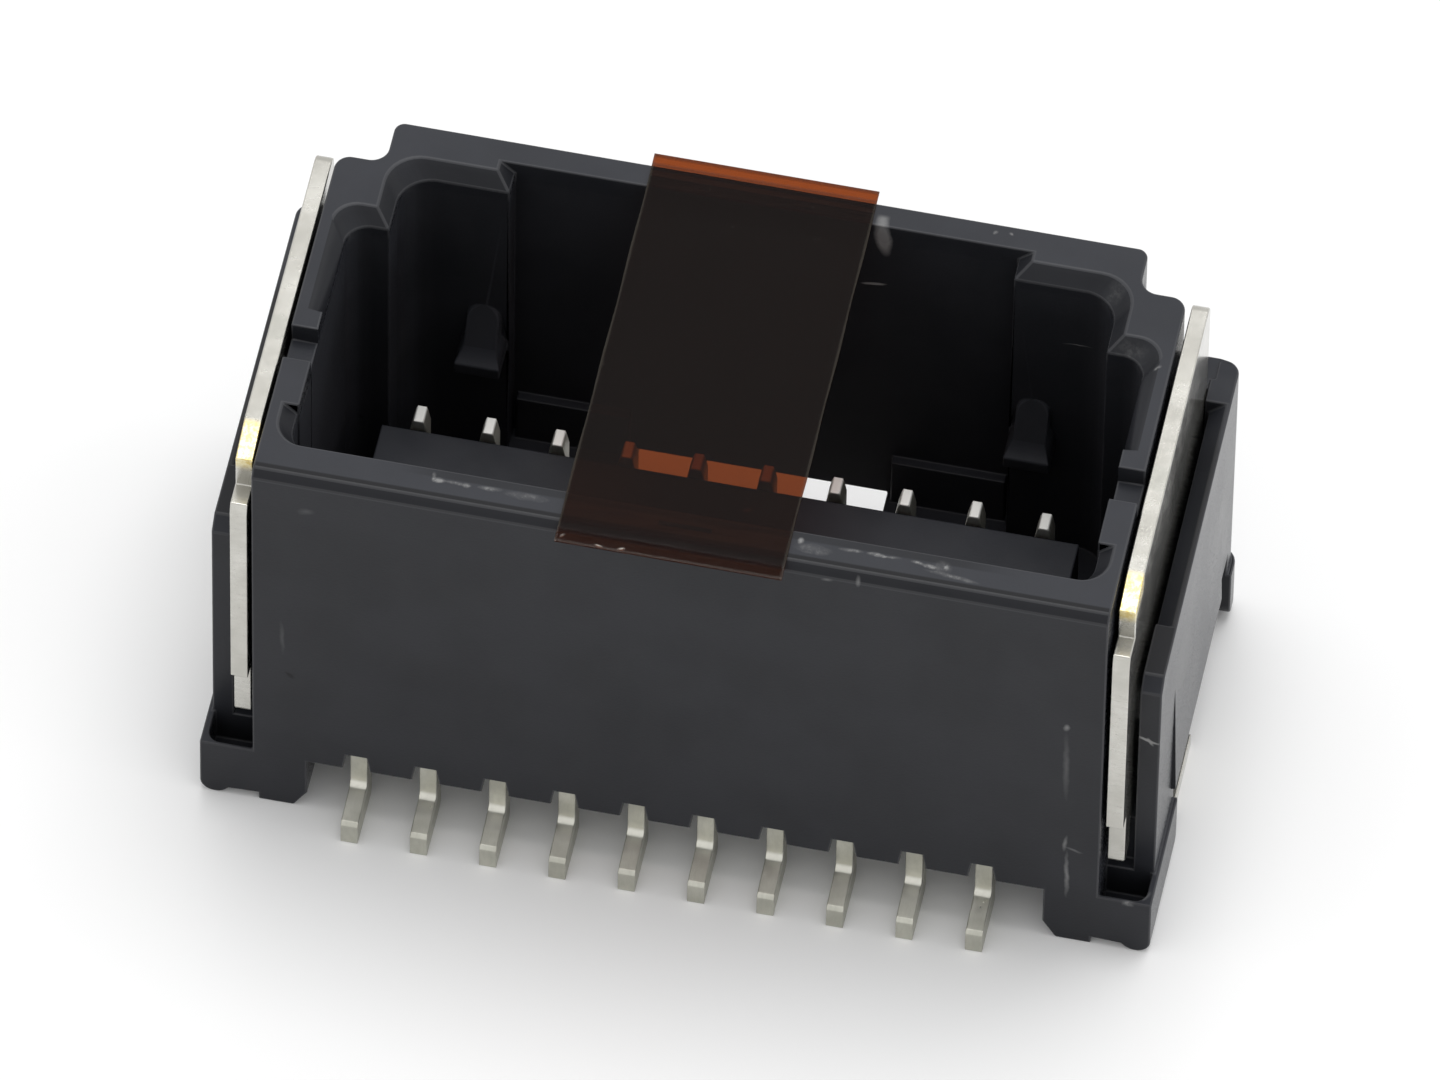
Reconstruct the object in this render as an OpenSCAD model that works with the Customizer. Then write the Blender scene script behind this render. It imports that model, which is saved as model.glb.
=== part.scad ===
/* [Contact row] */
// Number of contacts side by side
contacts = 10; // [8:1:14]
// Distance from one contact to the next
pitch = 2; // [1.8:0.05:2.5]
// Offset of the contact row from the middle of the housing
row_shift = -0.17; // [-0.3:0.01:0.3]

/* [Shroud] */
// Height of the rim above the board
rim_z = 15.35; // [13.5:0.05:17]
// Height of the underside of the walls above the board
base_z = 2.15; // [1.9:0.05:2.4]
// Thickness of the floor behind the tongue
floor_t = 0.8; // [0.6:0.05:1.1]
// From the last contact to the outer side of the shroud
side_room = 3.17; // [2.8:0.01:3.6]
// Depth of the wide front part
wide_d = 11.46; // [11:0.01:12]
// Depth over the narrower bay at the back
shroud_d = 12.92; // [12.5:0.01:13.5]
// Front wall
front_wall = 1.25; // [0.9:0.05:1.6]
// Side walls of the wide part
side_wall = 0.77; // [0.6:0.01:1]
// Thick shoulders of the wide part beside the bay
shoulder_wall = 2.02; // [1.6:0.01:2.4]
// Step from the outer side of the shroud in to the bay
bay_step = 1.38; // [1.1:0.01:1.7]
// Side walls of the bay
bay_wall = 0.54; // [0.4:0.01:0.7]
// Back wall of the bay at its thick ends
back_wall = 1.5; // [1.2:0.01:1.8]
// Width of each thick end of the back wall
recess_land = 3.03; // [2.6:0.01:3.5]
// Back wall that is left behind the middle recess
recess_wall = 0.75; // [0.5:0.01:1]
// Lead-in chamfer round the mouth
lead_in = 0.43; // [0.25:0.01:0.5]
// Bevel along the front edge of the rim
front_bevel = 0.25; // [0.1:0.01:0.4]

/* [Shroud corners] */
// Inner corners at the front
front_corner_r = 0.8; // [0.4:0.05:1.2]
// Inner corners of the shoulders
shoulder_corner_r = 0.7; // [0.3:0.05:1]
// Inner corners of the bay
bay_corner_r = 1; // [0.4:0.05:1.4]
// Outer corners of the shoulders
outer_corner_r = 0.45; // [0.2:0.01:0.7]
// Outer corners of the bay
bay_outer_r = 0.3; // [0.1:0.01:0.5]
// Fillet where the bay leaves the shoulders
step_fillet_r = 0.5; // [0.2:0.01:0.7]

/* [Side rims] */
// From the front wall to the plain stop on each side rim
stop_gap = 1.35; // [1:0.05:1.8]
// Length of the plain stop
stop_l = 1.59; // [1.2:0.01:2]
// How far the stop stands into the cavity
stop_in = 0.05; // [0:0.01:0.1]
// Length of the notch behind the stop
notch_l = 1.11; // [0.8:0.01:1.4]
// Depth of the notch below the rim
notch_z = 0.65; // [0.4:0.05:0.9]
// Length over which the lead-in behind the notch fades in
ramp_l = 0.68; // [0.3:0.01:1]

/* [Tongue] */
// Height of the top of the tongue above the board
tongue_z = 7.35; // [6.5:0.05:8]
// From the front face to the back of the tongue
tongue_d = 8.3; // [7.9:0.05:8.6]
// From the last contact to the end of the tongue
tongue_end = 1.05; // [0.8:0.05:1.3]
// Wall left round the pockets under the tongue
core_wall = 0.4; // [0.3:0.05:0.55]

/* [Back wall] */
// From the side of the recess to the window in its foot
window_land = 3.57; // [3.2:0.01:3.9]
// Height of the top of the window above the board
window_z = 2.95; // [2.7:0.01:3.1]
// Height of the foot pads above the board
pad_z = 4.75; // [4:0.05:5.5]
// How far the foot pads stand out of the recess
pad_d = 0.3; // [0.2:0.01:0.5]
// Space from the foot pads to the recess side and to the window
pad_gap = 0.14; // [0.1:0.01:0.3]
// From the side of the recess to the middle of each catch
catch_x = 0.7; // [0.66:0.01:1]
// Width of the ramp of the catch
catch_w = 0.95; // [0.8:0.05:1.1]
// Width of the flared foot of the catch
catch_foot_w = 1.32; // [1.2:0.01:1.32]
// Height of the top of the ramp above the board
catch_top_z = 9.55; // [9:0.05:9.8]
// Length of the ramp from its top down to the foot
catch_ramp_h = 1.2; // [1:0.05:1.4]
// Height of the sloped top of the foot
catch_slope_h = 0.35; // [0.2:0.01:0.5]
// Height of the upright front of the foot
catch_front_h = 0.4; // [0.2:0.01:0.6]
// How far the ramp stands out of the wall at its lower end
catch_d = 0.65; // [0.4:0.01:0.8]
// How far the foot stands out of the wall
catch_foot_d = 1.1; // [0.9:0.01:1.3]

/* [Wings] */
// Thickness of the wings
wing_t = 0.62; // [0.56:0.01:0.8]
// Front face of the wings behind the front face of the shroud
wing_front = 1.15; // [0.9:0.01:1.4]
// Back face of the wings behind the front face of the shroud
wing_back = 12.82; // [12.6:0.01:13]
// Height of the top of the wings above the board
wing_z = 11.1; // [9.5:0.05:12]
// Height of the bottom edge between the legs above the board
wing_arch_z = 3.2; // [2.9:0.05:3.6]
// Bevel on the front upper corner
wing_bevel = 0.4; // [0.2:0.05:0.8]
// Length of the top edge that rounds off toward the back
wing_drop_l = 0.8; // [0.5:0.05:1]
// Radius of that rounding
wing_drop_r = 4; // [2:0.1:6]
// Rounding of the outer back edge
wing_r = 0.5; // [0.2:0.01:0.55]
// Inner edge of the wings' top, bevelled to guide the nail in
guide = 0.5; // [0.3:0.01:0.54]
// Plain length of the wings' top in front of the guide bevel
guide_gap = 2.15; // [1.6:0.05:2.6]
// Plain length of the wings' top behind the guide bevel, which closes up to the nail
guide_back = 1.6; // [1.3:0.05:1.9]
// Width of the front legs
front_leg = 2.75; // [2.4:0.05:3]
// Width of the back legs
back_leg = 1; // [0.9:0.05:1.3]
// How far the lower panel stands out at its bottom edge
panel_out = 0.13; // [0.05:0.01:0.2]
// Height above the board where the lower panel fades out
panel_z = 8; // [7:0.05:9]
// From the front face of the wing to the lower panel
panel_y = 2.3; // [1.9:0.05:2.6]
// Length of the lower panel
panel_l = 6.8; // [6:0.05:7.2]
// Height of the web between shroud and wing above the board
web_z = 4.2; // [3.8:0.05:4.6]

/* [Feet] */
// How far the feet reach in from the outer side of the shroud
foot_in = 1.57; // [1.3:0.01:1.8]
// How far the feet reach out past the wings
foot_out = 0.13; // [0.05:0.01:0.2]
// Height of the feet between the shroud and the wing
foot_z = 2.25; // [2.1:0.05:2.5]
// Width of the inner pad that stands on the board
foot_pad = 1.4; // [1.2:0.01:1.6]
// Relief between the pad and the outer nub
foot_relief = 0.28; // [0.2:0.01:0.4]
// Radius of the outer nub
foot_nub_r = 0.43; // [0.35:0.01:0.45]
// Bevel on the inner edge of the pad
foot_bevel = 0.38; // [0.2:0.01:0.6]
// Height of that bevel
foot_bevel_h = 0.66; // [0.4:0.01:0.9]
// Rounding of the feet under the wings' legs, on the side toward the arch
foot_r = 0.8; // [0.4:0.05:0.85]
// Depth of the pocket in the top of each front foot, ahead of the wing's leg
pocket_depth = 1.2; // [0.8:0.05:1.4]
// Wall left in front of that pocket
pocket_front = 0.12; // [0.1:0.01:0.2]
// Wall left on the outer side of that pocket
pocket_side = 0.2; // [0.15:0.01:0.3]
// Rounding of that pocket's outer front corner
pocket_r = 0.35; // [0.2:0.05:0.5]

/* [Contacts] */
// Thickness of the contact sheet
contact_t = 0.5; // [0.4:0.01:0.6]
// Gap between a contact and its slot, each side
contact_gap = 0.02; // [0.01:0.01:0.05]
// Height of the contact tips above the board
tip_z = 7.7; // [7.5:0.01:8.2]
// Width across the very tip
tip_w = 0.26; // [0.2:0.01:0.34]
// Width across the tip below its bevels
tip_shoulder_w = 0.36; // [0.35:0.01:0.4]
// Length of the narrowing end of the pin
tip_l = 0.5; // [0.4:0.05:0.9]
// Depth of the standing pin
pin_d = 0.57; // [0.5:0.01:0.8]
// Gap between the tongue and the pin behind it
pin_gap = 0.05; // [0.03:0.01:0.1]
// Height of the beam under the floor
beam_h = 0.6; // [0.5:0.01:0.7]
// Gap between the beam and the top of its slot
beam_gap = 0.02; // [0.01:0.01:0.05]
// Depth of the root that holds the contact in the tongue
root_d = 1.2; // [0.9:0.05:1.5]
// Height of the root above the beam
root_h = 2.6; // [2:0.05:3]
// Bevel on the leading corner of the root
root_bevel = 0.3; // [0.1:0.05:0.5]
// Front face of the contact leg behind the front of the shroud
leg_back = 0.35; // [0.3:0.01:0.5]
// Depth of the contact leg
leg_d = 0.6; // [0.5:0.01:0.7]
// How far the solder foot stands out in front of the shroud
solder_out = 0.97; // [0.7:0.01:1.3]
// Height of the solder foot at its toe
toe_h = 0.87; // [0.7:0.01:0.9]
// Bevel on the upper edge of the toe
toe_bevel = 0.1; // [0.05:0.01:0.2]
// Height of the solder foot at the leg
heel_h = 1.04; // [0.95:0.01:1.2]
// Rounding between leg and solder foot
bend_r = 0.25; // [0.1:0.01:0.3]
// Width of the notch in the front wall at its top
notch_top_w = 0.58; // [0.55:0.01:0.65]
// Width of the notch in the front wall at its mouth
notch_low_w = 0.8; // [0.7:0.01:0.9]

/* [Fitting nails] */
// Thickness of the nail sheet
nail_t = 0.5; // [0.4:0.01:0.55]
// Gap between the shroud and the nail
nail_gap = 0.13; // [0.1:0.01:0.25]
// Gap between the nail and the wing
nail_fit = 0.15; // [0.05:0.01:0.2]
// Drop from the rim to the top edge of the nail
nail_drop = 0.25; // [0.15:0.01:0.4]
// Front edge of the nail behind the front face of the shroud
nail_front = 0.05; // [0.02:0.01:0.2]
// Back edge of the nail behind the front face of the shroud
nail_back = 11.65; // [11.5:0.01:11.8]
// Rounding of the upper back corner
nail_r = 0.35; // [0.2:0.05:0.8]
// Depth of the front leg of the nail
nail_leg = 1.3; // [1.1:0.05:1.4]
// Height of the end of the front leg above the board
nail_leg_z = 3.3; // [3:0.05:3.6]
// Set-back of the end of the front leg
nail_leg_step = 0.45; // [0.3:0.01:0.6]
// Length of the set-back end of the front leg
nail_leg_end = 2.3; // [1.8:0.05:2.6]
// Rounding of the end of the front leg
nail_leg_r = 0.25; // [0.1:0.01:0.3]
// Set-back of the sheared front corner
nail_step = 0.8; // [0.5:0.05:1]
// Depth of the bevel on the front edge of that step
nail_step_bevel = 0.1; // [0.05:0.01:0.3]
// Height of that bevel
nail_step_bevel_h = 0.35; // [0.2:0.05:0.7]
// From the top edge down to the step in the front edge
nail_step_drop = 1.5; // [1:0.05:2]
// Drop of the sheared facet at its front end
nail_shear = 0.35; // [0.2:0.01:0.5]
// Length of the sheared facet
nail_shear_l = 1.3; // [0.9:0.05:1.7]
// Gap between the nail and the web below it
nail_seat = 0.05; // [0.03:0.01:0.1]
// From the front face of the shroud to the solder tail
tail_y = 5; // [4:0.1:6]
// Width of the solder tail
tail_w = 2.4; // [1.8:0.1:3]
// How far the solder tail turns out
tail_out = 1.15; // [1:0.01:1.25]
// Inner radius of the bend of the solder tail
tail_r = 0.2; // [0.1:0.01:0.3]

/* [Pickup tape] */
// Width of the tape
tape_w = 6.45; // [5:0.05:8]
// Middle of the tape from the middle of the housing
tape_x = -0.22; // [-0.5:0.01:0.5]
// Overhang of the tape at the front
tape_front = 0.5; // [0.2:0.05:0.8]
// Overhang of the tape at the back
tape_rear = 0.38; // [0.2:0.01:0.8]
// Thickness of the tape
tape_t = 0.06; // [0.05:0.01:0.1]

/* [Hidden] */
$fn = 32;
// Straight steps along an arc in an outline
arc_steps = 6;
// A cut runs this far past the face it opens
past = 0.1;
// Two parts of one solid run this far into each other
sink = 0.1;
// A sloped cut starts from slabs this thin
slab = 0.01;

row_half = (contacts - 1) * pitch / 2;
shroud_half = row_half + side_room;
cavity_half = shroud_half - side_wall;
cavity_back = wide_d - shoulder_wall;
bay_outer_half = shroud_half - bay_step;
bay_half = bay_outer_half - bay_wall;
bay_back = shroud_d - back_wall;
recess_half = bay_half - recess_land;
recess_back = shroud_d - recess_wall;
window_half = recess_half - window_land;
floor_z = base_z + floor_t;
stop_start = front_wall + stop_gap;
stop_end = stop_start + stop_l;
notch_end = stop_end + notch_l;
tongue_half = row_half + tongue_end;

nail_in = shroud_half + nail_gap;
nail_out = nail_in + nail_t;
wing_in = nail_out + nail_fit;
wing_out = wing_in + wing_t;
foot_outer = wing_out + foot_out;
foot_inner = shroud_half - foot_in;

slot_w = contact_t + 2 * contact_gap;
beam_top = base_z + beam_h + contact_gap;
slot_top = beam_top + beam_gap;
pin_front = tongue_d + pin_gap;
pin_back = pin_front + pin_d;
root_front = pin_front - root_d;
root_top = beam_top + root_h;

// Places what is drawn from the front face of the shroud about the middle of its depth
module from_front() {
    translate([0, -shroud_d / 2, 0]) children();
}

module both_sides() {
    children();
    mirror([1, 0, 0]) children();
}

// Repeats its children at each contact, counted from the left
module at_contacts() {
    for (i = [1 : contacts]) translate([contact_x(i), 0, 0]) children();
}

function contact_x(i) = (i - 1) * pitch - row_half + row_shift;

// Points along an arc about x, y, from one angle to another
function arc(x, y, r, from, to) =
    [for (k = [0 : arc_steps]) let (a = from + (to - from) * k / arc_steps)
        [x + r * cos(a), y + r * sin(a)]];

// Stands an outline drawn in depth and height on its edge and makes it w wide about X 0
module upright(w) {
    translate([-w / 2, 0, 0]) rotate([90, 0, 90]) linear_extrude(w) children();
}

// Stands an outline drawn in width and height and makes it reach from y0 to y1
module fore_and_aft(y0, y1) {
    translate([0, y1, 0]) rotate([90, 0, 0]) linear_extrude(y1 - y0) children();
}

module between_heights(z0, z1) {
    translate([0, 0, z0]) linear_extrude(z1 - z0) children();
}

// Plan of a bay centred on X 0, with one radius at its front corners and one at its back
module bay_plan(half, y0, y1, r0, r1) {
    difference() {
        translate([-half, y0]) square([2 * half, y1 - y0]);
        for (side = [-1, 1]) {
            corner_cut(side * half, y0, -side, 1, r0);
            corner_cut(side * half, y1, -side, -1, r1);
        }
    }
}

// What a round leaves outside itself at a corner whose inside lies toward dx, dy
module corner_cut(x, y, dx, dy, r) {
    if (r > 0)
        translate([x, y]) scale([dx, dy]) difference() {
            translate([-past, -past]) square(r + past);
            translate([r, r]) circle(r);
        }
}

// Outline of the shroud from above
module shroud_plan() {
    bay_plan(shroud_half, 0, wide_d, 0, outer_corner_r);
    bay_plan(bay_outer_half, 0, shroud_d, 0, bay_outer_r);
    for (side = [-1, 1])
        translate([side * bay_outer_half, wide_d]) scale([side, 1]) difference() {
            translate([-sink, -sink]) square(step_fillet_r + sink);
            translate([step_fillet_r, step_fillet_r]) circle(step_fillet_r);
        }
}

// The three bays that make up the cavity from above
module cavity_plan() {
    bay_plan(cavity_half, front_wall, cavity_back, front_corner_r, shoulder_corner_r);
    bay_plan(bay_half, cavity_back - 2 * bay_corner_r, bay_back, 0, bay_corner_r);
    bay_plan(recess_half, bay_back - sink, recess_back, 0, 0);
}

// Sloped mouth over one bay: its sides widen toward the rim, and its back by grow_back
module mouth(half, y0, y0_rim, y1, grow_back, r0, r1) {
    hull() {
        between_heights(rim_z - lead_in, rim_z - lead_in + slab) bay_plan(half, y0, y1, r0, r1);
        between_heights(rim_z, rim_z + slab)
            bay_plan(half + lead_in, y0_rim, y1 + grow_back, r0, r1);
    }
}

module lead_ins() {
    mouth(cavity_half, front_wall, front_wall, stop_start, 0, front_corner_r, 0);
    mouth(cavity_half, notch_end, notch_end + ramp_l, cavity_back, lead_in, 0, shoulder_corner_r);
    mouth(bay_half, cavity_back - bay_corner_r, cavity_back - bay_corner_r, bay_back, lead_in,
          0, bay_corner_r);
    mouth(recess_half, bay_back - lead_in, bay_back - lead_in, recess_back, 0, 0, 0);
}

// Plain stops and open notches that interrupt the side rims
module stops() {
    both_sides()
        translate([cavity_half - stop_in, stop_start, floor_z - sink])
            cube([stop_in + sink, stop_l, rim_z - floor_z + sink]);
}

module side_notches() {
    both_sides()
        translate([cavity_half - past, stop_end, rim_z - notch_z])
            cube([side_wall + 2 * past, notch_l, notch_z + past]);
}

module tongue() {
    translate([row_shift - tongue_half, front_wall - sink, floor_z - past])
        cube([2 * tongue_half, tongue_d - front_wall + sink, tongue_z - floor_z + past]);
}

// Pockets from below between the contacts keep the tongue's walls even
module tongue_cores() {
    core_w = pitch - slot_w - 2 * core_wall;
    for (i = [1 : contacts - 1])
        translate([contact_x(i) + pitch / 2 - core_w / 2, front_wall, base_z - past])
            cube([core_w, tongue_d - front_wall - core_wall, tongue_z - base_z - floor_t + past]);
}

// Slots in the underside, the tongue and the front wall that take the contacts
module contact_slots() {
    at_contacts() {
        upright(slot_w) {
            translate([-past, base_z - past])
                square([pin_back + contact_gap + past, slot_top - base_z + past]);
            translate([pin_front - contact_gap, base_z - past])
                square([pin_d + 2 * contact_gap, tongue_z - base_z + 2 * past]);
            translate([root_front - contact_gap, base_z - past])
                square([root_d + contact_gap, root_top + contact_gap - base_z + past]);
        }
        fore_and_aft(-past, front_wall + sink)
            polygon([[-notch_top_w / 2, slot_top], [notch_top_w / 2, slot_top],
                     [notch_low_w / 2, base_z - past], [-notch_low_w / 2, base_z - past]]);
    }
}

// Opening in the floor and in the foot of the back wall
module window() {
    translate([-window_half, tongue_d, base_z - past])
        cube([2 * window_half, shroud_d - tongue_d + past, window_z - base_z + past]);
}

module foot_pads() {
    both_sides()
        translate([window_half + pad_gap, recess_back - pad_d, floor_z - sink])
            cube([recess_half - window_half - 2 * pad_gap, pad_d + sink, pad_z - floor_z + sink]);
}

// Catch on a thick end of the back wall: a round-topped ramp that ends on a flared foot
module catch() {
    ramp_low = catch_top_z - catch_ramp_h;
    foot_front_z = ramp_low - catch_slope_h;
    foot_low = foot_front_z - catch_front_h;
    wall = bay_back + sink;
    translate([recess_half + catch_x, 0, 0]) {
        intersection() {
            fore_and_aft(bay_back - catch_d, wall) union() {
                translate([0, catch_top_z - catch_w / 2]) circle(catch_w / 2);
                translate([-catch_w / 2, foot_low])
                    square([catch_w, catch_top_z - catch_w / 2 - foot_low]);
            }
            upright(catch_w)
                polygon([[bay_back, catch_top_z], [wall, catch_top_z], [wall, foot_low],
                         [bay_back - catch_d, foot_low], [bay_back - catch_d, ramp_low]]);
        }
        intersection() {
            fore_and_aft(bay_back - catch_foot_d, wall)
                polygon([[-catch_w / 2, ramp_low], [catch_w / 2, ramp_low],
                         [catch_foot_w / 2, foot_front_z], [catch_foot_w / 2, foot_low],
                         [-catch_foot_w / 2, foot_low], [-catch_foot_w / 2, foot_front_z]]);
            upright(catch_foot_w)
                polygon([[wall, ramp_low], [wall, foot_low], [bay_back - catch_foot_d, foot_low],
                         [bay_back - catch_foot_d, foot_front_z],
                         [bay_back - catch_d, ramp_low]]);
        }
    }
}

// Side plate that covers the nail, standing on a leg at each end
module wing() {
    legs_z = foot_z - sink;
    drop_start = wing_back - wing_drop_l;
    intersection() {
        translate([wing_in + wing_t / 2, 0, 0]) upright(wing_t)
            polygon(concat(
                [[wing_front, legs_z], [wing_front, wing_z - wing_bevel],
                 [wing_front + wing_bevel, wing_z]],
                arc(drop_start, wing_z - wing_drop_r, wing_drop_r, 90,
                    acos(wing_drop_l / wing_drop_r)),
                [[wing_back, legs_z], [wing_back - back_leg, legs_z],
                 [wing_back - back_leg, wing_arch_z], [wing_front + front_leg, wing_arch_z],
                 [wing_front + front_leg, legs_z]]));
        between_heights(0, wing_z + past)
            bay_plan(wing_out, 0, wing_back, 0, wing_r);
    }
}

// Bevel along the inner edge of the wing's top, between its plain ends
module guide_bevel() {
    fore_and_aft(wing_front + guide_gap, wing_back - guide_back)
        polygon([[wing_in - past, wing_z + past], [wing_in - past, wing_z - guide],
                 [wing_in, wing_z - guide], [wing_in + guide, wing_z],
                 [wing_in + guide, wing_z + past]]);
}

// Lower panel of the wing, flush at its top and proud at its bottom edge
module wing_panel() {
    fore_and_aft(wing_front + panel_y, wing_front + panel_y + panel_l)
        polygon([[wing_out - sink, wing_arch_z], [wing_out + panel_out, wing_arch_z],
                 [wing_out, panel_z], [wing_out - sink, panel_z]]);
}

// Web between shroud and wing under the nail, the wall behind the nail and the rib beside it
module wing_joint() {
    back_z = wing_z - wing_drop_r + sqrt(pow(wing_drop_r, 2) - pow(wing_drop_l, 2));
    slot_back = nail_back + nail_seat;
    slot_out = nail_out + contact_gap;
    difference() {
        union() {
            translate([shroud_half - sink, wing_front + wing_bevel, base_z])
                cube([wing_in - shroud_half + 2 * sink, wing_back - wing_front - wing_bevel,
                      web_z - base_z]);
            translate([shroud_half - foot_in, wide_d - sink, base_z])
                cube([foot_in + wing_in + sink - shroud_half, wing_back - wide_d + sink,
                      back_z - base_z]);
            translate([slot_out, wing_back - guide_back, web_z - sink])
                cube([wing_in - slot_out + sink, guide_back - wing_drop_l,
                      wing_z - web_z + sink]);
        }
        translate([shroud_half, wide_d - 2 * sink, web_z])
            cube([slot_out - shroud_half, slot_back - wide_d + 2 * sink, wing_z]);
        translate([nail_in - contact_gap, tail_y - contact_gap, base_z - past])
            cube([wing_in - nail_in + contact_gap + sink + past, tail_w + 2 * contact_gap,
                  web_z - base_z + 2 * past]);
    }
}

// Foot block from the front: a bevelled pad, a relief and a round nub
module foot_outline() {
    nub_x = foot_outer - foot_nub_r;
    polygon([[foot_inner, foot_bevel_h], [foot_inner + foot_bevel, 0],
             [foot_inner + foot_pad, 0], [foot_inner + foot_pad, foot_relief],
             [nub_x, foot_relief], [nub_x, foot_nub_r], [foot_outer, foot_nub_r],
             [foot_outer, foot_z], [foot_inner, foot_z]]);
    translate([nub_x, foot_nub_r]) circle(foot_nub_r);
}

// Foot from y0 to y1 whose lower corner toward the arch is rounded; turn is 1 when that is y1
module foot(y0, y1, turn) {
    arch_y = turn > 0 ? y1 : y0;
    difference() {
        fore_and_aft(y0, y1) foot_outline();
        translate([(foot_inner + foot_outer) / 2, 0, 0])
            upright(foot_outer - foot_inner + 2 * past) corner_cut(arch_y, 0, -turn, 1, foot_r);
        between_heights(-past, foot_z + past) corner_cut(foot_outer, wing_back, -1, -1, wing_r);
    }
}

// Pocket in the top of a front foot, between the shroud's side and the front of the wing's leg
module foot_pocket() {
    pocket_outer = foot_outer - pocket_side;
    between_heights(foot_z - pocket_depth, foot_z + past) difference() {
        translate([shroud_half, pocket_front])
            square([pocket_outer - shroud_half, wing_front - pocket_front]);
        corner_cut(pocket_outer, pocket_front, -1, 1, pocket_r);
    }
}

module feet() {
    difference() {
        foot(0, wing_front + front_leg, 1);
        foot_pocket();
    }
    foot(wing_back - back_leg, wing_back, -1);
}

module housing() {
    color([0.13, 0.13, 0.15]) from_front() {
        difference() {
            between_heights(base_z, rim_z) shroud_plan();
            difference() {
                between_heights(floor_z, rim_z + past) cavity_plan();
                tongue();
                stops();
                foot_pads();
                both_sides() catch();
            }
            lead_ins();
            side_notches();
            window();
            tongue_cores();
            contact_slots();
            bevel_front_rim();
        }
        both_sides() {
            difference() {
                wing();
                guide_bevel();
            }
            wing_panel();
            wing_joint();
            feet();
        }
    }
}

module bevel_front_rim() {
    upright(2 * shroud_half + 2 * past)
        polygon([[-past, rim_z - front_bevel - past], [front_bevel + past, rim_z + past],
                 [-past, rim_z + past]]);
}

// One contact from the side: solder foot, leg, beam under the floor, root, pin and tip
module contact_profile() {
    beam_low = beam_top - beam_h;
    leg_end = leg_back + leg_d;
    polygon(concat(
        [[-solder_out, 0], [-solder_out, toe_h - toe_bevel], [toe_bevel - solder_out, toe_h]],
        arc(leg_back - bend_r, heel_h + bend_r, bend_r, -90, 0),
        arc(leg_back + bend_r, beam_top - bend_r, bend_r, 180, 90),
        [[root_front, beam_top], [root_front, root_top - root_bevel],
         [root_front + root_bevel, root_top], [pin_front, root_top], [pin_front, tip_z],
         [pin_back, tip_z], [pin_back, beam_low], [leg_end, beam_low]],
        arc(leg_end - bend_r, bend_r, bend_r, 0, -90)));
}

// The same contact from the front: a plain strip that narrows toward its tip
module contact_width() {
    neck = tip_z - tip_l;
    polygon([[-contact_t / 2, 0], [contact_t / 2, 0], [contact_t / 2, neck],
             [tip_shoulder_w / 2, tip_z - tip_w / 2], [tip_w / 2, tip_z],
             [-tip_w / 2, tip_z], [-tip_shoulder_w / 2, tip_z - tip_w / 2],
             [-contact_t / 2, neck]]);
}

module contact(i) {
    color([0.72, 0.72, 0.66]) from_front() translate([contact_x(i), 0, 0])
        intersection() {
            upright(contact_t) contact_profile();
            fore_and_aft(-solder_out - past, pin_back + past) contact_width();
        }
}

// Nail plate from the side, with a stepped front leg and a sheared front corner
module nail_plate() {
    top = rim_z - nail_drop;
    low = web_z + nail_seat;
    leg_front = nail_front + nail_leg_step;
    leg_rear = nail_front + nail_leg;
    shear_front = nail_front + nail_step;
    polygon(concat(
        [[leg_front, nail_leg_z + nail_leg_end], [nail_front, nail_leg_z + nail_leg_end],
         [nail_front, top - nail_step_drop - nail_step_bevel_h],
         [nail_front + nail_step_bevel, top - nail_step_drop],
         [shear_front, top - nail_step_drop], [shear_front, top - nail_shear],
         [shear_front + nail_shear_l, top]],
        arc(nail_back - nail_r, top - nail_r, nail_r, 90, 0),
        [[nail_back, low], [leg_rear + nail_leg_r, low]],
        arc(leg_rear + nail_leg_r, low - nail_leg_r, nail_leg_r, 90, 180),
        arc(leg_rear - nail_leg_r, nail_leg_z + nail_leg_r, nail_leg_r, 0, -90),
        arc(leg_front + nail_leg_r, nail_leg_z + nail_leg_r, nail_leg_r, -90, -180)));
}

// Fitting nail for the right side
module nail() {
    tail_turn = tail_r + nail_t;
    tail_mid = tail_y + tail_w / 2;
    translate([nail_in + nail_t / 2, 0, 0]) upright(nail_t) nail_plate();
    fore_and_aft(tail_y, tail_y + tail_w) {
        translate([nail_in, tail_turn])
            square([nail_t, web_z + nail_seat + sink - tail_turn]);
        translate([nail_in + tail_turn, 0]) square([tail_out - tail_turn, nail_t]);
        translate([nail_in + tail_turn, tail_turn]) intersection() {
            difference() {
                circle(tail_turn);
                circle(tail_r);
            }
            translate([-tail_turn, -tail_turn]) square(tail_turn);
        }
    }
}

module right_fitting_nail() {
    color([0.8, 0.79, 0.74]) from_front() nail();
}

module left_fitting_nail() {
    mirror([1, 0, 0]) right_fitting_nail();
}

module pickup_tape() {
    color([0.35, 0.16, 0.05, 0.8]) from_front()
        translate([tape_x - tape_w / 2, -tape_front, rim_z])
            cube([tape_w, shroud_d + tape_front + tape_rear, tape_t]);
}

housing();
for (i = [1 : contacts])
    contact(i);
left_fitting_nail();
right_fitting_nail();
pickup_tape();
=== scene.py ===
"""Looks of a tall board header: charcoal housing, tin leads, fitting nails and amber film."""
from math import acos, cos, pi, radians, sin

import bmesh
import bpy
from mathutils import Matrix, Vector
from mathutils.bvhtree import BVHTree


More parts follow.
